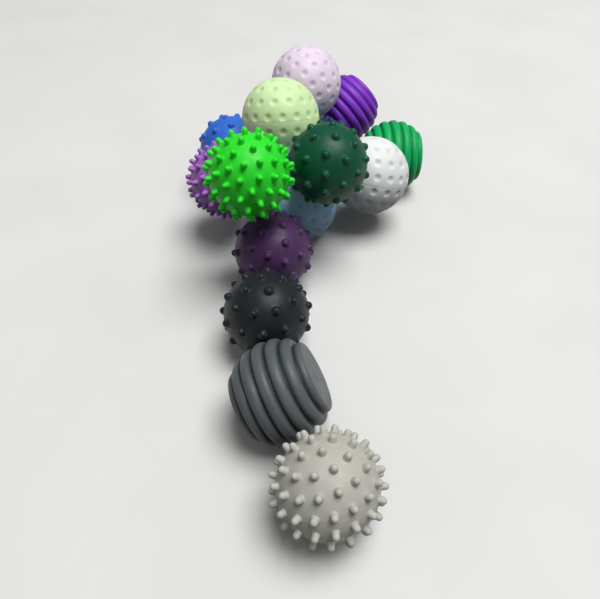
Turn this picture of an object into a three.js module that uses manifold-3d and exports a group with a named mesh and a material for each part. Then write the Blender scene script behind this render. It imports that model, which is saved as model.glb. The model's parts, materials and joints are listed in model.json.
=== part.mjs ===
// Magnetic fidget balls: fifteen soft textured balls that hold each other in a clump with a tail.
// A ball is a thick moulded cover in two halves round a hard core, and the core carries a bar magnet.
// The core turns freely in its pocket, so the magnets line up and any two balls attract.
// Millimetres, +Z up, with the origin under the middle of the clump on the surface that it lies on.
import * as THREE from 'three';
import { ConvexHull } from 'three/addons/math/ConvexHull.js';
import { mergeVertices } from 'three/addons/utils/BufferGeometryUtils.js';
import Module from 'manifold-3d';

// Ball and cover
const BALL_DIAMETER = 36; // over the tips of the texture
const CONTACT_GAP = 0.3; // between two balls that hold each other
const SEAM_GAP = 0.3; // between the two halves of a cover
const SEAM_MARGIN = 0.2; // from the seam to the foot of the nearest features

// Core and magnet
const CORE_DIAMETER = 18;
const CORE_CLEARANCE = 0.2; // least gap between the core and the wall of its pocket
const MAGNET_DIAMETER = 9;
const MAGNET_LENGTH = 11;
const MAGNET_CLEARANCE = 0.25; // between the magnet and its bore, at the side and at the floor

// Spiky cover: slim nubs with blunt tips
const SPIKE_HEIGHT = 2.4;
const SPIKE_BASE_DIAMETER = 3.1;
const SPIKE_TIP_DIAMETER = 2;
const SPIKE_PITCH = 5.5;

// Studded cover: fewer, wider, low studs
const STUD_HEIGHT = 1.6;
const STUD_BASE_DIAMETER = 4.2;
const STUD_TIP_DIAMETER = 2.2;
const STUD_PITCH = 8.8;

// Dimpled cover: round pits in a smooth ball
const DIMPLE_DIAMETER = 3.6;
const DIMPLE_DEPTH = 1;
const DIMPLE_PITCH = 6.6;

// Ribbed cover: rings round one axis, with a flat disc at each end
const RIB_HEIGHT = 1.5;
const RIB_PITCH = 5.2;
const RIB_CREST = 2.6; // width of a rib's rounded top
const END_DISC_DIAMETER = 23.4;

// Facets of the round forms
const SPIKE_SIDES = 3;
const STUD_SIDES = 4;
const DIMPLE_SIDES = 3;
const SEAM_SIDES = 10;
const RIB_SIDES = 10;
const INNER_SIDES = 6;
const INNER_ARCS = 4; // steps from pole to pole of the core and its pocket

// Search for the turn that seats a ball on its neighbours
const MOST_TILT_DEGREES = 20;
const SEAT_STEP_DEGREES = 5;
const HEADING_STEP_DEGREES = 45;
const GOOD_SEAT_DEGREES = 6; // a proud spot this near to the line between two balls is near enough
const TILT_WEIGHT = 0.15; // of the pole's tilt, against the miss of a seat

const ballRadius = BALL_DIAMETER / 2;
const contactDistance = BALL_DIAMETER + CONTACT_GAP;
const seamHeight = SEAM_GAP / 2;
const coreRadius = CORE_DIAMETER / 2;
const boreRadius = MAGNET_DIAMETER / 2 + MAGNET_CLEARANCE;

const X_AXIS = new THREE.Vector3(1, 0, 0);
const Z_AXIS = new THREE.Vector3(0, 0, 1);
const radians = THREE.MathUtils.degToRad;

const wasm = await Module();
wasm.setup();

// Closed geometry to a solid for joining and cutting
function solid(geometry) {
  const bare = geometry.clone();
  bare.deleteAttribute('normal');
  bare.deleteAttribute('uv');
  const merged = mergeVertices(bare, 1e-4);
  return new wasm.Manifold(new wasm.Mesh({
    numProp: 3,
    vertProperties: Float32Array.from(merged.attributes.position.array),
    triVerts: Uint32Array.from(merged.index.array),
  }));
}

function geometryOf(body) {
  const mesh = body.getMesh();
  const geometry = new THREE.BufferGeometry();
  geometry.setAttribute('position', new THREE.BufferAttribute(Float32Array.from(mesh.vertProperties), 3));
  geometry.setIndex(new THREE.BufferAttribute(Uint32Array.from(mesh.triVerts), 1));
  geometry.computeVertexNormals();
  return geometry;
}

// Revolves a profile of [radius, height] points about +Z
function revolve(profile, sides) {
  const points = profile.map(([radius, height]) => new THREE.Vector2(radius, height));
  return new THREE.LatheGeometry(points, sides).rotateX(Math.PI / 2);
}

// Unit vector at a longitude and latitude in degrees
function direction(longitude, latitude) {
  const lon = radians(longitude);
  const lat = radians(latitude);
  return new THREE.Vector3(Math.cos(lat) * Math.cos(lon), Math.cos(lat) * Math.sin(lon), Math.sin(lat));
}

// Latitudes of the rows on the crown half, which ends in a feature at its pole, and on the base half.
// The rows are as far apart across the seam as elsewhere, and the seam runs close below the crown's first.
function rowLatitudes({ bodyRadius, pitch, baseDiameter }) {
  const first = THREE.MathUtils.radToDeg((seamHeight + SEAM_MARGIN + baseDiameter / 2) / bodyRadius);
  const rows = Math.max(1, Math.round((radians(90 - first) * bodyRadius) / pitch));
  const step = (90 - first) / rows;
  const baseFirst = Math.max(first, step - first);
  return {
    crown: Array.from({ length: rows + 1 }, (_, row) => first + step * row),
    base: Array.from({ length: rows }, (_, row) => baseFirst + step * row),
  };
}

// Directions of evenly spaced features on half a ball, each row starting at longitude 0
function featureDirections(form, side) {
  return rowLatitudes(form)[side].flatMap((latitude) => {
    const girth = 2 * Math.PI * form.bodyRadius * Math.cos(radians(latitude));
    const count = Math.max(1, Math.round(girth / form.pitch));
    return Array.from({ length: count }, (_, i) => direction((360 / count) * i, latitude));
  });
}

// Ring of points round an axis through the ball's centre, on a sphere of its own radius
function ringAround(axis, sphereRadius, ringRadius, sides) {
  const side = new THREE.Vector3(0, 0, 1).cross(axis);
  const east = side.length() > 1e-6 ? side.normalize() : new THREE.Vector3(0, 1, 0);
  const north = axis.clone().cross(east);
  const spread = ringRadius / sphereRadius;
  return Array.from({ length: sides }, (_, i) => {
    const turn = (2 * Math.PI * i) / sides;
    return axis.clone().multiplyScalar(Math.cos(spread))
      .addScaledVector(east, Math.sin(spread) * Math.cos(turn))
      .addScaledVector(north, Math.sin(spread) * Math.sin(turn))
      .multiplyScalar(sphereRadius);
  });
}

// Half a ball with a raised or sunk feature at each pattern point, closed by its flat seam face.
// The tip ring stands the given height above the body, and a tip of no width is a point.
function featuredHalf(form, side) {
  const { bodyRadius, sides, baseDiameter, tipDiameter, height } = form;
  const features = featureDirections(form, side).map((axis) => ({
    base: ringAround(axis, bodyRadius, baseDiameter / 2, sides),
    tip: tipDiameter > 0
      ? ringAround(axis, bodyRadius + height, tipDiameter / 2, sides)
      : [axis.clone().multiplyScalar(bodyRadius + height)],
  }));
  const seamRadius = Math.sqrt(bodyRadius ** 2 - seamHeight ** 2);
  const seam = Array.from({ length: SEAM_SIDES }, (_, i) => {
    const turn = (2 * Math.PI * i) / SEAM_SIDES;
    return new THREE.Vector3(seamRadius * Math.cos(turn), seamRadius * Math.sin(turn), seamHeight);
  });

  const vertices = [...seam];
  const owner = new Map(seam.map((point) => [point, null]));
  for (const feature of features) {
    feature.base.forEach((point) => owner.set(point, feature));
    vertices.push(...feature.base, ...feature.tip);
  }
  const number = new Map(vertices.map((point, i) => [point, i]));
  const triangles = [];
  const addTriangle = (...corners) => triangles.push(...corners.map((corner) => number.get(corner)));

  // The body between the features is the convex skin over their base rings
  for (const face of new ConvexHull().setFromPoints([...owner.keys()]).faces) {
    const corners = [face.getEdge(0), face.getEdge(1), face.getEdge(2)].map((edge) => edge.head().point);
    const owners = corners.map((corner) => owner.get(corner));
    const insideRing = owners[0] !== null && owners.every((feature) => feature === owners[0]);
    if (!insideRing) addTriangle(...corners);
  }

  // Each feature is lofted from its base ring to its tip
  for (const { base, tip } of features) {
    for (let i = 0; i < sides; i += 1) {
      const next = (i + 1) % sides;
      addTriangle(base[i], base[next], tip[next % tip.length]);
      if (tip.length > 1) addTriangle(base[i], tip[next], tip[i]);
    }
    for (let i = 2; i < tip.length; i += 1) addTriangle(tip[0], tip[i - 1], tip[i]);
  }

  const geometry = new THREE.BufferGeometry().setFromPoints(vertices);
  geometry.setIndex(triangles);
  return geometry;
}

// Angles of a ribbed ball, in radians: where the end disc starts, and from rib to rib
const discLatitude = Math.acos(END_DISC_DIAMETER / BALL_DIAMETER);
const groovesPerHalf = Math.max(1, Math.round((discLatitude * ballRadius) / RIB_PITCH));
const ribStep = discLatitude / groovesPerHalf;
const crestLatitudes = Array.from({ length: groovesPerHalf + 1 }, (_, rib) => ribStep * rib);

// Half a ribbed ball: half of the middle rib at the seam, grooves and ribs, then the rim of the flat end disc
function ribbedHalf() {
  const halfCrest = RIB_CREST / 2 / ballRadius;
  const at = (radius, latitude) => [radius * Math.cos(latitude), radius * Math.sin(latitude)];
  const profile = [[0, seamHeight], [Math.sqrt(ballRadius ** 2 - seamHeight ** 2), seamHeight]];
  for (const crest of crestLatitudes.slice(1)) {
    profile.push(at(ballRadius, crest - ribStep + halfCrest));
    profile.push(at(ballRadius - RIB_HEIGHT, crest - ribStep / 2));
    profile.push(at(ballRadius, crest - halfCrest));
  }
  profile.push(at(ballRadius, discLatitude), [0, ballRadius * Math.sin(discLatitude)]);
  return revolve(profile, RIB_SIDES);
}

// Pocket for the core: a faceted dome whose flats clear the core, run on past the seam
function pocketHalf() {
  const flatness = Math.cos(Math.PI / INNER_SIDES) * Math.cos(Math.PI / (2 * INNER_ARCS));
  const pocketRadius = (coreRadius + CORE_CLEARANCE) / flatness;
  const steps = INNER_ARCS / 2;
  const profile = [[0, -SEAM_GAP], [pocketRadius, -SEAM_GAP]];
  for (let i = 0; i < steps; i += 1) {
    const latitude = (Math.PI / 2) * (i / steps);
    profile.push([pocketRadius * Math.cos(latitude), pocketRadius * Math.sin(latitude)]);
  }
  profile.push([0, pocketRadius]);
  return revolve(profile, INNER_SIDES);
}

// Core: a ball with a blind bore for the magnet, open at the top
function coreShape() {
  const mouth = Math.acos(boreRadius / coreRadius);
  const floor = -MAGNET_LENGTH / 2 - MAGNET_CLEARANCE;
  const profile = [[0, -coreRadius]];
  for (let i = 1; i <= INNER_ARCS; i += 1) {
    const latitude = -Math.PI / 2 + (Math.PI / 2 + mouth) * (i / INNER_ARCS);
    profile.push([coreRadius * Math.cos(latitude), coreRadius * Math.sin(latitude)]);
  }
  profile.push([boreRadius, floor], [0, floor]);
  return revolve(profile, INNER_SIDES);
}

function magnetShape() {
  return new THREE.CylinderGeometry(MAGNET_DIAMETER / 2, MAGNET_DIAMETER / 2, MAGNET_LENGTH, INNER_SIDES)
    .rotateX(Math.PI / 2);
}

// The four mouldings, each a crown half and a base half that is turned over about X
const pocket = solid(pocketHalf());
const halfCover = (skin) => geometryOf(solid(skin).subtract(pocket));
const angleToNearest = (spots) => (local) => Math.min(...spots.map((spot) => spot.angleTo(local)));

function featuredTexture(form, standsProud) {
  const spots = [
    ...featureDirections(form, 'crown'),
    ...featureDirections(form, 'base').map(({ x, y, z }) => new THREE.Vector3(x, -y, -z)),
  ];
  return {
    crown: halfCover(featuredHalf(form, 'crown')),
    base: halfCover(featuredHalf(form, 'base')),
    missBy: standsProud ? angleToNearest(spots) : () => 0,
  };
}

function ribbedTexture() {
  const half = halfCover(ribbedHalf());
  const corners = Array.from({ length: RIB_SIDES }, (_, i) => (360 / RIB_SIDES) * i - 90);
  const latitudes = crestLatitudes.map(THREE.MathUtils.radToDeg);
  const spots = latitudes.flatMap((latitude) => corners.flatMap((corner) => [
    direction(corner, latitude),
    direction(corner, -latitude),
  ]));
  return { crown: half, base: half, missBy: angleToNearest(spots) };
}

// A texture's missBy gives the angle from a direction to the nearest form that reaches the full diameter
const textures = {
  spiky: featuredTexture({
    bodyRadius: ballRadius - SPIKE_HEIGHT,
    pitch: SPIKE_PITCH,
    sides: SPIKE_SIDES,
    baseDiameter: SPIKE_BASE_DIAMETER,
    tipDiameter: SPIKE_TIP_DIAMETER,
    height: SPIKE_HEIGHT,
  }, true),
  studded: featuredTexture({
    bodyRadius: ballRadius - STUD_HEIGHT,
    pitch: STUD_PITCH,
    sides: STUD_SIDES,
    baseDiameter: STUD_BASE_DIAMETER,
    tipDiameter: STUD_TIP_DIAMETER,
    height: STUD_HEIGHT,
  }, true),
  dimpled: featuredTexture({
    bodyRadius: ballRadius,
    pitch: DIMPLE_PITCH,
    sides: DIMPLE_SIDES,
    baseDiameter: DIMPLE_DIAMETER,
    tipDiameter: 0,
    height: -DIMPLE_DEPTH,
  }, false),
  ribbed: ribbedTexture(),
};
const core = geometryOf(solid(coreShape()));
const magnet = geometryOf(solid(magnetShape()));

// The balls, from the one in the middle outwards. A ball's moulding axis points along its pole, and it lies
// against its parent in the given direction from there. Both are degrees of azimuth and elevation.
function ball(name, colour, pole, parent, from) {
  return { name, texture: name.split('_')[1], colour, pole, parent, from };
}

const balls = [
  ball('sky_dimpled', 0x8fb3cc, [-60, 70]),
  ball('plum_studded', 0x4a3256, [-64, 26], 'sky_dimpled', [-108, 0]),
  ball('charcoal_studded', 0x24282b, [127, 82], 'plum_studded', [-92, 0]),
  ball('slate_ribbed', 0x5d6265, [13, 24], 'charcoal_studded', [-80, 0]),
  ball('grey_spiky', 0xc5c5bb, [123, 58], 'slate_ribbed', [-66, 0]),
  ball('forest_studded', 0x0b4430, [-95, -20], 'sky_dimpled', [-52, 58]),
  ball('green_spiky', 0x2ac935, [-113, 34], 'forest_studded', [-150, 10]),
  ball('white_dimpled', 0xe1e7e3, [-125, -70], 'sky_dimpled', [16, 14]),
  ball('emerald_ribbed', 0x08a154, [2, -1], 'white_dimpled', [65, -14]),
  ball('navy_studded', 0x1d3a66, [45, 50], 'white_dimpled', [126, -7]),
  ball('lime_dimpled', 0xdcfabf, [97, 67], 'navy_studded', [-146, 45]),
  ball('lavender_dimpled', 0xf1e5ef, [37, 22], 'navy_studded', [110, 43]),
  ball('violet_ribbed', 0x682da3, [32, 32], 'lavender_dimpled', [36, -38]),
  ball('lilac_spiky', 0xb987d2, [180, 45], 'sky_dimpled', [177, 19]),
  ball('blue_studded', 0x325ae6, [114, 48], 'lilac_spiky', [90, -9]),
];

// Turns and tilts a ball a little about its wanted pole until proud spots of its texture face its neighbours
function seatedTurn({ texture, pole }, neighbours) {
  const { missBy } = textures[texture];
  const wanted = direction(...pole);
  const upright = new THREE.Quaternion().setFromUnitVectors(Z_AXIS, wanted);
  const across = wanted.clone().cross(Math.abs(wanted.z) < 0.9 ? Z_AXIS : X_AXIS).normalize();
  let best = { score: Infinity };
  for (let tilt = 0; tilt <= MOST_TILT_DEGREES; tilt += SEAT_STEP_DEGREES) {
    for (let heading = 0; heading < 360; heading += HEADING_STEP_DEGREES) {
      const hinge = across.clone().applyAxisAngle(wanted, radians(heading));
      const tilted = new THREE.Quaternion().setFromAxisAngle(hinge, radians(tilt)).multiply(upright);
      for (let turn = 0; turn < 360; turn += SEAT_STEP_DEGREES) {
        const seat = tilted.clone().multiply(new THREE.Quaternion().setFromAxisAngle(Z_AXIS, radians(turn)));
        const unturn = seat.clone().invert();
        const locals = neighbours.map((toward) => toward.clone().applyQuaternion(unturn));
        const miss = Math.max(radians(GOOD_SEAT_DEGREES), ...locals.map(missBy));
        const score = miss + TILT_WEIGHT * radians(tilt);
        if (score < best.score) best = { score, seat };
      }
    }
  }
  return best.seat;
}

const plastic = new THREE.MeshStandardMaterial({ color: 0xe9e6dc, roughness: 0.5, metalness: 0 });
const nickel = new THREE.MeshStandardMaterial({ color: 0xb9bcc0, roughness: 0.25, metalness: 1 });

function addMesh(group, name, geometry, material) {
  const mesh = new THREE.Mesh(geometry, material);
  mesh.name = name;
  group.add(mesh);
  return mesh;
}

const toy = new THREE.Group();
const centres = new Map();
for (const entry of balls) {
  const { name, texture, colour, parent, from } = entry;
  const contact = parent ? direction(...from).negate() : Z_AXIS;
  const children = balls.filter((other) => other.parent === name);
  const neighbours = [contact, ...children.map((child) => direction(...child.from))];
  const centre = parent
    ? centres.get(parent).clone().addScaledVector(contact, -contactDistance)
    : new THREE.Vector3(0, 0, ballRadius);
  centres.set(name, centre);

  const rubber = new THREE.MeshStandardMaterial({ color: colour, roughness: 0.55, metalness: 0 });
  const cover = new THREE.Group();
  cover.quaternion.copy(seatedTurn(entry, neighbours));
  addMesh(cover, `${name}_cover_crown`, textures[texture].crown, rubber);
  addMesh(cover, `${name}_cover_base`, textures[texture].base, rubber).rotation.x = Math.PI;

  // The magnet's axis points at the ball that it holds
  const inside = new THREE.Group();
  inside.quaternion.setFromUnitVectors(Z_AXIS, contact);
  addMesh(inside, `${name}_core`, core, plastic);
  addMesh(inside, `${name}_magnet`, magnet, nickel);

  const group = new THREE.Group();
  group.position.copy(centre);
  group.add(cover, inside);
  toy.add(group);
}

// The origin is set under the middle of the whole clump
toy.updateMatrixWorld(true);
const box = new THREE.Box3().setFromObject(toy, true);
const middle = box.getCenter(new THREE.Vector3());
toy.position.set(-middle.x, -middle.y, -box.min.z);
toy.updateMatrixWorld(true);

export default toy;
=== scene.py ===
"""Magnetic fidget balls: moulded rubber covers over plastic cores and nickel magnets, on a pale floor.

Each ball's place and turn come from its solids in the frame. Metres, +Z up.
"""
import json
import math
from dataclasses import dataclass

import bpy
import numpy as np
from mathutils import Matrix, Vector
from mathutils.geometry import delaunay_2d_cdt


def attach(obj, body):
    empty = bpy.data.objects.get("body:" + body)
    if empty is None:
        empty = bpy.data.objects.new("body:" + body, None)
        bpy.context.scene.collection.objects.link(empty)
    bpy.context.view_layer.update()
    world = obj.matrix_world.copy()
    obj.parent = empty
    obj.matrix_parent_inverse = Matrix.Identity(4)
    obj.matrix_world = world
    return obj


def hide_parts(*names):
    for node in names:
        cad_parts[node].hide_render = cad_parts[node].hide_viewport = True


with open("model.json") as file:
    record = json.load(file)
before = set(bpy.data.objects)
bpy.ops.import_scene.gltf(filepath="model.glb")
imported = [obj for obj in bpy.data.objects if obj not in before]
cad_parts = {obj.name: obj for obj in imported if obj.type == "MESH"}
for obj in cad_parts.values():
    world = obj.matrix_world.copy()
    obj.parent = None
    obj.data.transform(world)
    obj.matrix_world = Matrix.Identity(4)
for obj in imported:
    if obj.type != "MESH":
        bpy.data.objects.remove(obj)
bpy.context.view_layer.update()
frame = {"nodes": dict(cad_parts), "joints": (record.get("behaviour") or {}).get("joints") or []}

MM = 0.001
UP = Vector((0, 0, 1))
SIDES = ("crown", "base")

# Ball, seam and pocket
BALL_RADIUS = 18 * MM
SEAM_HEIGHT = 0.15 * MM  # half the gap between the solids of a cover's halves
SEAM_MARGIN = 0.2 * MM  # from there to the foot of the nearest features
SEAM_LINE = 0.015 * MM  # half the gap that shows
SEAM_LIP = 0.05 * MM  # rounding of a half's outer edge
LIP_HEIGHT = SEAM_LINE + SEAM_LIP
POCKET_RADIUS = 9.2 * MM
FOOT_INSET = 0.05 * MM  # keeps a feature's foot off the rounded lip

# Core and magnet
CORE_RADIUS = 9 * MM
BORE_RADIUS = 4.75 * MM
BORE_FLOOR = -5.75 * MM
CORE_EDGE = 0.4 * MM  # rounding of the bore's mouth
MAGNET_RADIUS = 4.5 * MM
MAGNET_LENGTH = 11 * MM
MAGNET_CHAMFER = 0.35 * MM

# Spiky cover
SPIKE_HEIGHT = 2.4 * MM
SPIKE_FOOT_DIAMETER = 3.1 * MM
SPIKE_SHAFT_RADIUS = 1.24 * MM
SPIKE_TIP_RADIUS = 1.1 * MM
SPIKE_PITCH = 5.5 * MM

# Studded cover
STUD_HEIGHT = 1.6 * MM
STUD_FOOT_DIAMETER = 4.2 * MM
STUD_SHAFT_RADIUS = 1.6 * MM
STUD_TIP_RADIUS = 1.4 * MM
STUD_PITCH = 8.8 * MM

# Dimpled cover
DIMPLE_DIAMETER = 3.6 * MM
DIMPLE_DEPTH = 1 * MM
DIMPLE_PITCH = 6.6 * MM
PIT_RADIUS = 2 * MM  # with its soft edge
PIT_DEPTH = 0.6 * MM
PIT_ROUNDNESS = 1.6  # more is a softer edge and a rounder floor

# Ribbed cover
RIB_HEIGHT = 1.5 * MM
RIB_PITCH = 5.2 * MM
RIB_ROUNDNESS = 2.6  # more is flatter on top, with narrower grooves
END_DISC_RADIUS = 11.7 * MM
DISC_HEIGHT = math.sqrt(BALL_RADIUS ** 2 - END_DISC_RADIUS ** 2)
DISC_EDGE = 0.4 * MM  # rounding of the disc's rim
DISC_RINGS = (0.3, 0.6, 0.85)  # shares of its radius

# Fineness of the meshes
SEAM_SIDES = 96
FEATURE_SIDES = 16
SKIN_SPACING = 1.1 * MM
PIT_STEPS = 8
FILLET_STEPS = 4
TIP_STEPS = 6
POCKET_STEPS = 10
RIB_STEPS = 16
RIB_LIP_MARGIN = 1.5  # the ribs' lowest ring clears the lip's height by this factor
RIB_RIM_MARGIN = 1.2  # and their highest one the rim's rounding by this one
CORE_STEPS = 24
TRIANGLES_IN_HULL = 0  # what the triangulation is asked for
CLOSEST_POINTS = 1e-9  # nearer points become one there
NO_LENGTH = 1e-6  # a shorter vector gives no direction

# Search for a pattern's turn
TIP_TOLERANCE = 0.02 * MM
COARSE_DEGREES = 1
FINE_DEGREES = 0.05

# Painted shade: share and depth of the colour where a texture is sunk deepest, darkening pits, grooves and
# the body round the features' feet
PAINTED_SHADE_TONES = {
    "spiky": (0.92, 1),
    "studded": (0.92, 1),
    "dimpled": (0.78, 1.5),
    "ribbed": (0.6, 1.5),
}
# Violet's ribs get a lighter painted shade in their grooves
OWN_PAINTED_SHADE_TONES = {"violet": (0.85, 1.15)}

# Name, texture and colour of each ball, and how much light its rubber lets in under the surface
BALLS = (
    ("sky", "dimpled", "b2deff", 0.12),
    ("plum", "studded", "513160", 0.0),
    ("charcoal", "studded", "1f252a", 0.0),
    ("slate", "ribbed", "5a6062", 0.0),
    ("grey", "spiky", "bfbeb5", 0.10),
    ("forest", "studded", "065439", 0.0),
    ("green", "spiky", "2eea30", 0.10),
    ("white", "dimpled", "eef2f0", 0.12),
    ("emerald", "ribbed", "00b565", 0.05),
    ("navy", "studded", "1d3a66", 0.0),
    ("lime", "dimpled", "dcf8bc", 0.12),
    ("lavender", "dimpled", "f0dff2", 0.12),
    ("violet", "ribbed", "8a3ccc", 0.05),
    ("lilac", "spiky", "ae74ce", 0.10),
    ("blue", "studded", "3672db", 0.05),
)

# Surfaces
NOISE_SPAN = (0.3, 0.7)  # where most of a noise's values lie
RUBBER_TONES = (0.93, 1.04)  # shares of a ball's colour
RUBBER_SHINE = 0.28
RUBBER_LIGHT_DEPTH = 1.2 * MM  # how far light goes in
RUBBER_LIGHT_SHARES = (1, 0.8, 0.7)  # of that depth for red, green and blue
PLASTIC_TONES = ("e2dfd4", "ece9e0")
NICKEL_TONES = ("c4c6c8", "b0b1b0")
FLOOR_TONES = ("dedddb", "e1e1df")
FLOOR_BOUNCE = "202020"  # its colour for the light that it throws back
FLOOR_BLOTCH = 60 * MM
FLOOR_ROUGHNESS = 0.9
FLOOR_SHINE = 0.1

# Floor and light
FLOOR_HALF_WIDTH = 3
LAMP_PLACE = Vector((0.5, 0, 2.03))  # it shines at the origin
LAMP_WIDTH = 1.2
LAMP_WATTS = 44
WORLD_STRENGTH = 0.2

# Camera, as offset from the middle ball
CAMERA_OFFSET = Vector((0.37, -209.33, 152.60)) * MM
CAMERA_DOWN_DEGREES = 46.3
CAMERA_LENS_MM = 32.16
CAMERA_SENSOR_MM = 36
CAMERA_NEAREST = 5 * MM


# Profiles of the features, as (distance from the axis, height above the body)

def arc(start, end, steps, skip_first=True):
    """Turn angles from start to end, which are in degrees."""
    angles = np.radians(np.linspace(start, end, steps + 1))
    return angles[1:] if skip_first else angles


def post_profile(foot, shaft, tip, height):
    """A post with a fillet round its foot and a rounded tip."""
    fillet = foot - shaft
    profile = [(foot - fillet * math.sin(a), fillet * (1 - math.cos(a))) for a in arc(0, 90, FILLET_STEPS)]
    round_height = min(tip, height - fillet)
    tip_angles = arc(0, 90, TIP_STEPS, skip_first=height - round_height <= fillet)
    return profile + [(tip * math.cos(a), height - round_height * (1 - math.sin(a))) for a in tip_angles]


def pit_profile(foot, depth):
    """A pit with a soft edge and a round floor."""
    shares = np.linspace(1, 0, PIT_STEPS + 1)[1:]
    return [(foot * s, -depth * (1 - s ** 2) ** PIT_ROUNDNESS) for s in shares]


@dataclass(frozen=True)
class Form:
    """A texture of separate features on a round body."""
    body: float  # radius of the ball between the features
    pitch: float
    width: float  # of a feature's foot in the solids
    foot: float  # radius of the foot that shows
    reach: float  # from the ball's centre to the tip or floor of a feature in the solids
    corners: int  # of a feature's tip or floor in the solids
    profile: tuple


def make_form(height, width, pitch, corners, foot, profile):
    """Form whose features rise by a height, or sink where it is negative."""
    body = BALL_RADIUS - max(height, 0)
    return Form(body, pitch, width, foot, body + height, corners, tuple(profile))


SPIKE_FOOT = SPIKE_FOOT_DIAMETER / 2 - FOOT_INSET
STUD_FOOT = STUD_FOOT_DIAMETER / 2 - FOOT_INSET
FORMS = {
    "spiky": make_form(SPIKE_HEIGHT, SPIKE_FOOT_DIAMETER, SPIKE_PITCH, 3, SPIKE_FOOT,
                       post_profile(SPIKE_FOOT, SPIKE_SHAFT_RADIUS, SPIKE_TIP_RADIUS, SPIKE_HEIGHT)),
    "studded": make_form(STUD_HEIGHT, STUD_FOOT_DIAMETER, STUD_PITCH, 4, STUD_FOOT,
                         post_profile(STUD_FOOT, STUD_SHAFT_RADIUS, STUD_TIP_RADIUS, STUD_HEIGHT)),
    "dimpled": make_form(-DIMPLE_DEPTH, DIMPLE_DIAMETER, DIMPLE_PITCH, 1, PIT_RADIUS,
                         pit_profile(PIT_RADIUS, PIT_DEPTH)),
}


# Meshes of the covers and of what is inside them

class Shell:
    """Points and faces of one closed piece, with its axis along +Z."""

    def __init__(self):
        self.points = []
        self.faces = []

    def add(self, points):
        first = len(self.points)
        self.points.extend(tuple(point) for point in points)
        return list(range(first, len(self.points)))

    def circle(self, radius, height):
        turns = 2 * np.pi * np.arange(SEAM_SIDES) / SEAM_SIDES
        across = np.column_stack([np.cos(turns), np.sin(turns)]) * radius
        return self.add(np.column_stack([across, np.full(SEAM_SIDES, height)]))

    def bridge(self, low, high):
        for i in range(len(low)):
            j = (i + 1) % len(low)
            self.faces.append((low[i], low[j], high[j], high[i]))

    def fan(self, ring, tip):
        for i in range(len(ring)):
            self.faces.append((ring[i], ring[(i + 1) % len(ring)], tip))

    def sweep(self, ring, profile):
        """Runs on from a ring through (radius, height) points to an end on the axis."""
        for radius, height in profile[:-1]:
            following = self.circle(radius, height)
            self.bridge(following, ring)
            ring = following
        self.fan(ring[::-1], self.add([(0, 0, profile[-1][1])])[0])

    def lathe(self, profile):
        """Turns a profile that starts and ends on the axis."""
        middle = self.add([(0, 0, profile[0][1])])[0]
        ring = self.circle(*profile[1])
        self.fan(ring, middle)
        self.sweep(ring, profile[2:])

    def mesh(self, name, flipped=False):
        points = np.array(self.points)
        if flipped:
            points = points * (1, -1, -1)
        mesh = bpy.data.meshes.new(name)
        mesh.from_pydata(points.tolist(), [], self.faces)
        mesh.shade_smooth()
        mesh.validate()
        return mesh


def mark_sunk(mesh, low, high, below=math.inf):
    """Keeps how far each point is sunk, from 0 at a high radius to 1 at a low one, up to a height, as the
    mask of the painted shade.
    """
    points = np.array([vertex.co for vertex in mesh.vertices])
    painted_shade_mask = np.clip((high - np.linalg.norm(points, axis=1)) / (high - low), 0, 1)
    painted_shade_mask[abs(points[:, 2]) >= below] = 0
    mesh.attributes.new("painted_shade_mask", "FLOAT", "POINT").data.foreach_set("value", painted_shade_mask)


def inside_profile(body):
    """From the skin's lowest ring over the rounded lip and the seam face to the top of the core's pocket."""
    lip_radius = math.sqrt(body ** 2 - LIP_HEIGHT ** 2) - SEAM_LIP
    profile = [(lip_radius + SEAM_LIP * math.cos(a), LIP_HEIGHT - SEAM_LIP * math.sin(a))
               for a in arc(0, 90, FILLET_STEPS)]
    lowest = math.degrees(math.asin(SEAM_LINE / POCKET_RADIUS))
    profile += [(POCKET_RADIUS * math.cos(a), POCKET_RADIUS * math.sin(a))
                for a in arc(lowest, 90, POCKET_STEPS, skip_first=False)]
    return profile


def row_latitudes(form, side):
    """Latitudes of the rows of features on the crown half, which has one at its pole, or on the base half."""
    first = (SEAM_HEIGHT + SEAM_MARGIN + form.width / 2) / form.body
    rows = max(1, round((math.pi / 2 - first) * form.body / form.pitch))
    step = (math.pi / 2 - first) / rows
    if side == "crown":
        return [first + step * row for row in range(rows + 1)]
    return [max(first, step - first) + step * row for row in range(rows)]


def feature_axes(form, side):
    axes = []
    for latitude in row_latitudes(form, side):
        across = math.cos(latitude)
        count = max(1, round(2 * math.pi * form.body * across / form.pitch))
        for i in range(count):
            turn = 2 * math.pi * i / count
            axes.append((across * math.cos(turn), across * math.sin(turn), math.sin(latitude)))
    return np.array(axes)


def skin_fill(form, axes):
    """Evenly spread directions on the half ball, away from its features and its seam."""
    count = int(4 * math.pi * form.body ** 2 / SKIN_SPACING ** 2)
    number = np.arange(count) + 0.5
    heights = 1 - 2 * number / count
    turns = number * math.pi * (3 - math.sqrt(5))
    across = np.sqrt(1 - heights ** 2)
    spread = np.column_stack([across * np.cos(turns), across * np.sin(turns), heights])
    spread = spread[heights * form.body > LIP_HEIGHT + SKIN_SPACING / 2]
    nearest = (spread @ axes.T).max(axis=1)
    return spread[nearest < math.cos((form.foot + SKIN_SPACING / 3) / form.body)]


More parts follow.
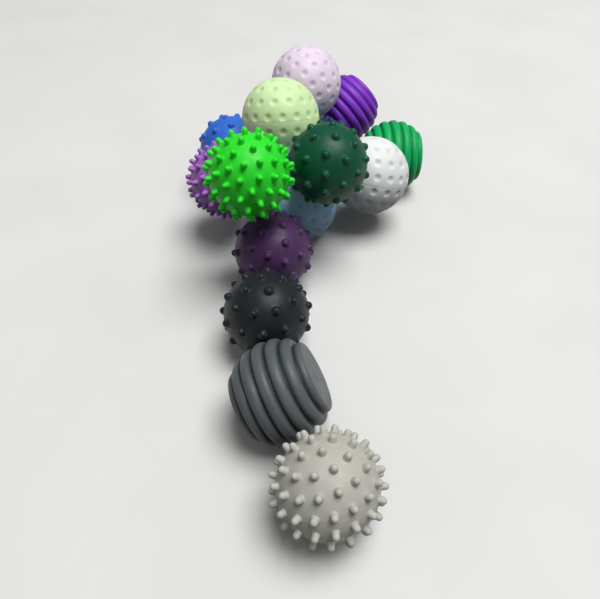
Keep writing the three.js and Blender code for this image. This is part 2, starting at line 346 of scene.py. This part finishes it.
def add_feature(shell, form, axis):
    """One nub, stud or pit. Returns the ring of its foot."""
    east = np.cross(UP, axis)
    if np.linalg.norm(east) < NO_LENGTH:
        east = np.array((0.0, 1.0, 0.0))
    east /= np.linalg.norm(east)
    turns = 2 * np.pi * np.arange(FEATURE_SIDES) / FEATURE_SIDES
    around = np.outer(np.cos(turns), east) + np.outer(np.sin(turns), np.cross(axis, east))
    foot = shell.add(axis * math.sqrt(form.body ** 2 - form.foot ** 2) + around * form.foot)
    low = foot
    for radius, height in form.profile[:-1]:
        sag = math.sqrt(form.body ** 2 - radius ** 2)
        high = shell.add(axis * (sag + height) + around * radius)
        shell.bridge(low, high)
        low = high
    shell.fan(low, shell.add([axis * (form.body + form.profile[-1][1])])[0])
    return foot


def add_skin(shell, body, edge, rings, fill):
    """Triangles of the body between its edge, the rings of the features' feet and the points in between."""
    skin = edge + [point for ring in rings for point in ring] + fill
    owner = {point: number for number, ring in enumerate(rings) for point in ring}
    place = {point: i for i, point in enumerate(skin)}
    units = np.array(shell.points)[skin] / body
    flat = [Vector(unit[:2] / (1 + unit[2])) for unit in units]
    edges = [(place[ring[i - 1]], place[ring[i]]) for ring in rings for i in range(len(ring))]
    _, _, triangles, sources, _, _ = delaunay_2d_cdt(
        flat, edges, [], TRIANGLES_IN_HULL, CLOSEST_POINTS)
    for triangle in triangles:
        corners = [skin[sources[corner][0]] for corner in triangle]
        owners = {owner.get(corner) for corner in corners}
        if owners == {None} or len(owners) > 1:
            shell.faces.append(tuple(corners))


def featured_half(form, side):
    shell = Shell()
    axes = feature_axes(form, side)
    edge = shell.circle(math.sqrt(form.body ** 2 - LIP_HEIGHT ** 2), LIP_HEIGHT)
    rings = [add_feature(shell, form, axis) for axis in axes]
    fill = shell.add(skin_fill(form, axes) * form.body)
    add_skin(shell, form.body, edge, rings, fill)
    shell.sweep(edge, inside_profile(form.body))
    return shell


def ribbed_half():
    disc_latitude = math.acos(END_DISC_RADIUS / BALL_RADIUS)
    edge_latitude = DISC_EDGE / BALL_RADIUS
    grooves = round(disc_latitude * BALL_RADIUS / RIB_PITCH)
    step = disc_latitude / grooves

    def rib_point(latitude):
        off_crest = abs(latitude / step - round(latitude / step)) * 2
        radius = BALL_RADIUS - RIB_HEIGHT * off_crest ** RIB_ROUNDNESS
        return radius * math.cos(latitude), radius * math.sin(latitude)

    # The disc runs over its rounded rim into the ribs
    rim_start = np.array((END_DISC_RADIUS - DISC_EDGE, DISC_HEIGHT))
    rim_corner = np.array((END_DISC_RADIUS, DISC_HEIGHT))
    rim_end = np.array(rib_point(disc_latitude - edge_latitude))
    profile = [(0, DISC_HEIGHT)]
    profile += [(END_DISC_RADIUS * share, DISC_HEIGHT) for share in DISC_RINGS]
    for t in np.linspace(0, 1, FILLET_STEPS + 2):
        profile.append(tuple((1 - t) ** 2 * rim_start + 2 * t * (1 - t) * rim_corner + t ** 2 * rim_end))

    lip_latitude = math.asin(LIP_HEIGHT / BALL_RADIUS)
    lowest, highest = lip_latitude * RIB_LIP_MARGIN, disc_latitude - edge_latitude * RIB_RIM_MARGIN
    latitudes = [disc_latitude * i / (grooves * RIB_STEPS) for i in range(grooves * RIB_STEPS, 0, -1)]
    profile += [rib_point(latitude) for latitude in latitudes if lowest < latitude < highest]
    profile.append((BALL_RADIUS * math.cos(lip_latitude), BALL_RADIUS * math.sin(lip_latitude)))
    shell = Shell()
    shell.lathe(profile + inside_profile(BALL_RADIUS))
    return shell


def core_shell():
    mouth = BORE_RADIUS + CORE_EDGE
    mouth_latitude = math.acos(mouth / CORE_RADIUS)
    mouth_height = CORE_RADIUS * math.sin(mouth_latitude)
    profile = [(0, BORE_FLOOR), (BORE_RADIUS, BORE_FLOOR)]
    profile += [(mouth - CORE_EDGE * math.cos(a), mouth_height - CORE_EDGE * (1 - math.sin(a)))
                for a in arc(0, 90, FILLET_STEPS, skip_first=False)]
    profile += [(CORE_RADIUS * math.cos(a), CORE_RADIUS * math.sin(a))
                for a in arc(math.degrees(mouth_latitude), -90, CORE_STEPS)]
    shell = Shell()
    shell.lathe(profile)
    return shell


def magnet_shell():
    end = MAGNET_LENGTH / 2
    shell = Shell()
    shell.lathe([
        (0, end),
        (MAGNET_RADIUS - MAGNET_CHAMFER, end),
        (MAGNET_RADIUS, end - MAGNET_CHAMFER),
        (MAGNET_RADIUS, MAGNET_CHAMFER - end),
        (MAGNET_RADIUS - MAGNET_CHAMFER, -end),
        (0, -end),
    ])
    return shell


def cover_mesh(texture, side):
    """Mesh of a cover's half, marked for painted shade where it is sunk. The end disc of a ribbed one stays
    unmarked.
    """
    name = f"{texture}_{side}"
    flipped = side == "base"
    if texture == "ribbed":
        mesh = ribbed_half().mesh(name, flipped)
        mark_sunk(mesh, BALL_RADIUS - RIB_HEIGHT, BALL_RADIUS, below=DISC_HEIGHT - DISC_EDGE)
    else:
        form = FORMS[texture]
        mesh = featured_half(form, side).mesh(name, flipped)
        mark_sunk(mesh, *sorted((form.body, form.reach)))
    return mesh


# Materials

def linear(colour):
    """Linear red, green and blue of a hex colour."""
    channels = [int(colour[i:i + 2], 16) / 255 for i in (0, 2, 4)]
    return [c / 12.92 if c <= 0.04045 else ((c + 0.055) / 1.055) ** 2.4 for c in channels]


def shaded(colour, share=1, depth=1):
    """A share of a colour. More depth makes it darker and purer."""
    return (*(share * channel ** depth for channel in linear(colour)), 1)


@dataclass(frozen=True)
class Finish:
    """Fine variation of a surface, in metres."""
    blotch: float  # size of the blotches of colour
    patch: float  # size of the patches of roughness
    roughness: tuple  # of the smoothest and the roughest patches
    grain: float  # size of the grain
    relief: float  # height of the grain
    strength: float  # of the grain's shading
    detail: float = 3  # of the blotches and patches
    grain_detail: float = 3
    blotch_span: tuple = NOISE_SPAN


RUBBER = Finish(blotch=9 * MM, patch=2.5 * MM, roughness=(0.38, 0.5),
                grain=0.35 * MM, relief=0.05 * MM, strength=0.25, grain_detail=2)
PLASTIC = Finish(blotch=5 * MM, patch=1.5 * MM, roughness=(0.42, 0.52),
                 grain=0.4 * MM, relief=0.03 * MM, strength=0.2)
NICKEL = Finish(blotch=1.2 * MM, patch=0.8 * MM, roughness=(0.16, 0.32),
                grain=0.3 * MM, relief=0.02 * MM, strength=0.15, detail=6, blotch_span=(0.35, 0.7))


class Nodes:
    """A new material's node tree, with short calls for its common nodes."""

    def __init__(self, name):
        self.material = bpy.data.materials.new(name)
        self.material.use_nodes = True
        self.tree = self.material.node_tree
        self.shader = self.tree.nodes["Principled BSDF"]
        self.place = self.new("ShaderNodeTexCoord").outputs["Object"]

    def new(self, kind, **settings):
        node = self.tree.nodes.new(kind)
        for setting, value in settings.items():
            setattr(node, setting, value)
        return node

    def link(self, output, socket):
        self.tree.links.new(output, socket)

    def shade(self, socket, output):
        self.link(output, self.shader.inputs[socket])

    def set(self, socket, value):
        """Sets one of the shader's own sockets to a uniform value."""
        self.shader.inputs[socket].default_value = value

    def noise(self, size, detail=3):
        """Noise whose blotches are about that size."""
        node = self.new("ShaderNodeTexNoise")
        node.inputs["Scale"].default_value = 1 / size
        node.inputs["Detail"].default_value = detail
        self.link(self.place, node.inputs["Vector"])
        return node.outputs["Fac"]

    def spread(self, value, low, high, to_low=0, to_high=1):
        """Maps low..high of a value to to_low..to_high."""
        node = self.new("ShaderNodeMapRange", interpolation_type="SMOOTHSTEP")
        bounds = {"From Min": low, "From Max": high, "To Min": to_low, "To Max": to_high}
        for socket, number in bounds.items():
            node.inputs[socket].default_value = number
        self.link(value, node.inputs["Value"])
        return node.outputs["Result"]

    def mixed(self, share, first, second):
        """Colour from first to second by a share. Either is a colour or another node's output."""
        node = self.new("ShaderNodeMix", data_type="RGBA")
        self.link(share, node.inputs["Factor"])
        # Inputs 6 and 7 and output 2 are this node's colour sockets
        for socket, colour in ((node.inputs[6], first), (node.inputs[7], second)):
            if isinstance(colour, tuple):
                socket.default_value = colour
            else:
                self.link(colour, socket)
        return node.outputs[2]

    def finish(self, finish):
        """Gives the shader a surface's roughness and grain. Returns its blotches, from 0 to 1."""
        patches = self.noise(finish.patch, finish.detail)
        self.shade("Roughness", self.spread(patches, *NOISE_SPAN, *finish.roughness))
        bump = self.new("ShaderNodeBump")
        bump.inputs["Distance"].default_value = finish.relief
        bump.inputs["Strength"].default_value = finish.strength
        self.link(self.noise(finish.grain, finish.grain_detail), bump.inputs["Height"])
        self.shade("Normal", bump.outputs["Normal"])
        return self.spread(self.noise(finish.blotch, finish.detail), *finish.blotch_span)


def rubber(name, colour, lets_in, painted_shade_share, painted_shade_depth):
    """Satin moulded rubber, with painted shade in its recesses."""
    nodes = Nodes(name)
    plain = nodes.mixed(nodes.finish(RUBBER), *(shaded(colour, share) for share in RUBBER_TONES))
    # Darker colour where the surface is sunk: painted shade in pits, grooves and round the features' feet
    painted_shade_mask = nodes.spread(nodes.new("ShaderNodeAttribute", attribute_name="painted_shade_mask").outputs["Fac"], 0, 1)
    nodes.shade("Base Color", nodes.mixed(painted_shade_mask, plain, shaded(colour, painted_shade_share, painted_shade_depth)))
    nodes.set("Specular IOR Level", RUBBER_SHINE)
    if lets_in:
        nodes.set("Subsurface Weight", lets_in)
        nodes.set("Subsurface Radius", RUBBER_LIGHT_SHARES)
        nodes.set("Subsurface Scale", RUBBER_LIGHT_DEPTH)
    return nodes.material


def plastic(name):
    """Pale moulded plastic with faint cloudiness."""
    nodes = Nodes(name)
    clouds = nodes.finish(PLASTIC)
    nodes.shade("Base Color", nodes.mixed(clouds, *map(shaded, PLASTIC_TONES)))
    return nodes.material


def nickel(name):
    """Bright nickel plating with fine handling marks."""
    nodes = Nodes(name)
    marks = nodes.finish(NICKEL)
    nodes.shade("Base Color", nodes.mixed(marks, *map(shaded, NICKEL_TONES)))
    nodes.set("Metallic", 1)
    return nodes.material


def floor_paint(name):
    """Pale where it is seen or mirrored, darker for the light that it throws back."""
    nodes = Nodes(name)
    blotches = nodes.spread(nodes.noise(FLOOR_BLOTCH), *NOISE_SPAN)
    pale = nodes.mixed(blotches, *map(shaded, FLOOR_TONES))
    rays = nodes.new("ShaderNodeLightPath")
    seen = rays.outputs["Is Camera Ray"]
    for kind in ("Is Glossy Ray", "Is Transmission Ray"):
        either = nodes.new("ShaderNodeMath", operation="MAXIMUM")
        nodes.link(seen, either.inputs[0])
        nodes.link(rays.outputs[kind], either.inputs[1])
        seen = either.outputs["Value"]
    nodes.shade("Base Color", nodes.mixed(seen, shaded(FLOOR_BOUNCE), pale))
    nodes.set("Roughness", FLOOR_ROUGHNESS)
    nodes.set("Specular IOR Level", FLOOR_SHINE)
    return nodes.material


# Places and turns of the balls

def joint_centre(name):
    """Where a joint is, or None where there is no such joint."""
    for joint in frame["joints"]:
        if joint["name"] == name:
            return Vector(joint["pos_m"])
    return None


def solid_points(node):
    """The different corners of a solid."""
    vertices = frame["nodes"][node].data.vertices
    points = np.empty(3 * len(vertices))
    vertices.foreach_get("co", points)
    return np.unique(points.reshape(-1, 3).round(7), axis=0)


def turned(axes, angle):
    cosine, sine = math.cos(angle), math.sin(angle)
    return axes @ np.array(((cosine, sine, 0), (-sine, cosine, 0), (0, 0, 1)))


def pattern_turn(form, corners):
    """Turn about the pole that brings a form's crown features onto the corners of their solid."""
    reach = np.linalg.norm(corners, axis=1)
    spots = corners[abs(reach - form.reach) < TIP_TOLERANCE]
    spots = spots / np.linalg.norm(spots, axis=1, keepdims=True)
    axes = feature_axes(form, "crown")

    def fit(angle):
        candidates = turned(axes, angle)
        nearest = np.argsort(-candidates @ spots.T, axis=1)[:, :form.corners]
        return np.einsum("ij,ij->", candidates, spots[nearest].mean(axis=1))

    coarse = max(np.radians(np.arange(0, 360, COARSE_DEGREES)), key=fit)
    return max(coarse + np.radians(np.arange(-COARSE_DEGREES, COARSE_DEGREES, FINE_DEGREES)), key=fit)


def cover_turn(node, centre, texture):
    """Turn of a ball's cover, from the solid of its crown half."""
    corners = solid_points(node) - np.array(centre)
    pole = Vector(corners.mean(axis=0)).normalized()
    upright = UP.rotation_difference(pole).to_matrix()
    turn = pattern_turn(FORMS[texture], corners @ np.array(upright)) if texture in FORMS else 0
    return upright @ Matrix.Rotation(turn, 3, "Z")


# The balls

def add_piece(name, shape, centre, turn, material, body, node):
    mesh = shape.copy()
    mesh.transform(turn.to_4x4())
    mesh.materials.append(material)
    piece = bpy.data.objects.new(name, mesh)
    bpy.context.scene.collection.objects.link(piece)
    piece.location = centre
    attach(piece, body)
    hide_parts(node)


# The meshes of each kind are made once and shared by the balls
covers = {(texture, side): cover_mesh(texture, side) for texture in PAINTED_SHADE_TONES for side in SIDES}
core_mesh = core_shell().mesh("core")
magnet_mesh = magnet_shell().mesh("magnet")
core_plastic = plastic("core_plastic")
magnet_nickel = nickel("magnet_nickel")

for short, texture, colour, lets_in in BALLS:
    centre = joint_centre(f"{short}_spin")
    solid = f"{short}_{texture}"
    # Painted shade tone for this ball's recesses
    painted_shade_tone = OWN_PAINTED_SHADE_TONES.get(short, PAINTED_SHADE_TONES[texture])
    skin = rubber(f"{short}_rubber", colour, lets_in, *painted_shade_tone)
    turn = cover_turn(f"{solid}_cover_crown", centre, texture)
    for side in SIDES:
        add_piece(f"{short}_moulded_{side}", covers[texture, side], centre, turn, skin,
                  f"{short}_cover", f"{solid}_cover_{side}")

    # The magnet's axis points at the ball that it holds
    held = joint_centre(f"{short}_roll")
    axis = UP if held is None else held - centre
    turn = UP.rotation_difference(axis).to_matrix()
    add_piece(f"{short}_turned_core", core_mesh, centre, turn, core_plastic,
              f"{short}_core", f"{solid}_core")
    add_piece(f"{short}_bar_magnet", magnet_mesh, centre, turn, magnet_nickel,
              f"{short}_core", f"{solid}_magnet")


# Floor, light and camera

def add_floor():
    mesh = bpy.data.meshes.new("floor")
    signs = ((-1, -1), (1, -1), (1, 1), (-1, 1))
    corners = [(x * FLOOR_HALF_WIDTH, y * FLOOR_HALF_WIDTH, 0) for x, y in signs]
    mesh.from_pydata(corners, [], [(0, 1, 2, 3)])
    mesh.materials.append(floor_paint("floor"))
    floor = bpy.data.objects.new("floor", mesh)
    bpy.context.scene.collection.objects.link(floor)


def add_light():
    """A wide softbox overhead, a little to the right, and an even glow all round."""
    softbox = bpy.data.lights.new("overhead", "AREA")
    softbox.shape = "SQUARE"
    softbox.size = LAMP_WIDTH
    softbox.energy = LAMP_WATTS
    lamp = bpy.data.objects.new("overhead", softbox)
    lamp.location = LAMP_PLACE
    lamp.rotation_euler = (-LAMP_PLACE).to_track_quat("-Z", "Y").to_euler()
    bpy.context.scene.collection.objects.link(lamp)

    world = bpy.data.worlds.new("studio")
    world.use_nodes = True
    glow = world.node_tree.nodes["Background"]
    glow.inputs["Color"].default_value = (1, 1, 1, 1)
    glow.inputs["Strength"].default_value = WORLD_STRENGTH
    bpy.context.scene.world = world


def add_camera(place):
    camera = bpy.data.cameras.new("camera")
    camera.lens = CAMERA_LENS_MM
    camera.sensor_width = CAMERA_SENSOR_MM
    camera.clip_start = CAMERA_NEAREST
    viewer = bpy.data.objects.new("camera", camera)
    viewer.location = place
    viewer.rotation_euler = (math.radians(90 - CAMERA_DOWN_DEGREES), 0, 0)
    bpy.context.scene.collection.objects.link(viewer)
    bpy.context.scene.camera = viewer


add_floor()
add_light()
add_camera(joint_centre("sky_spin") + CAMERA_OFFSET)
bpy.context.scene.view_settings.view_transform = "Standard"
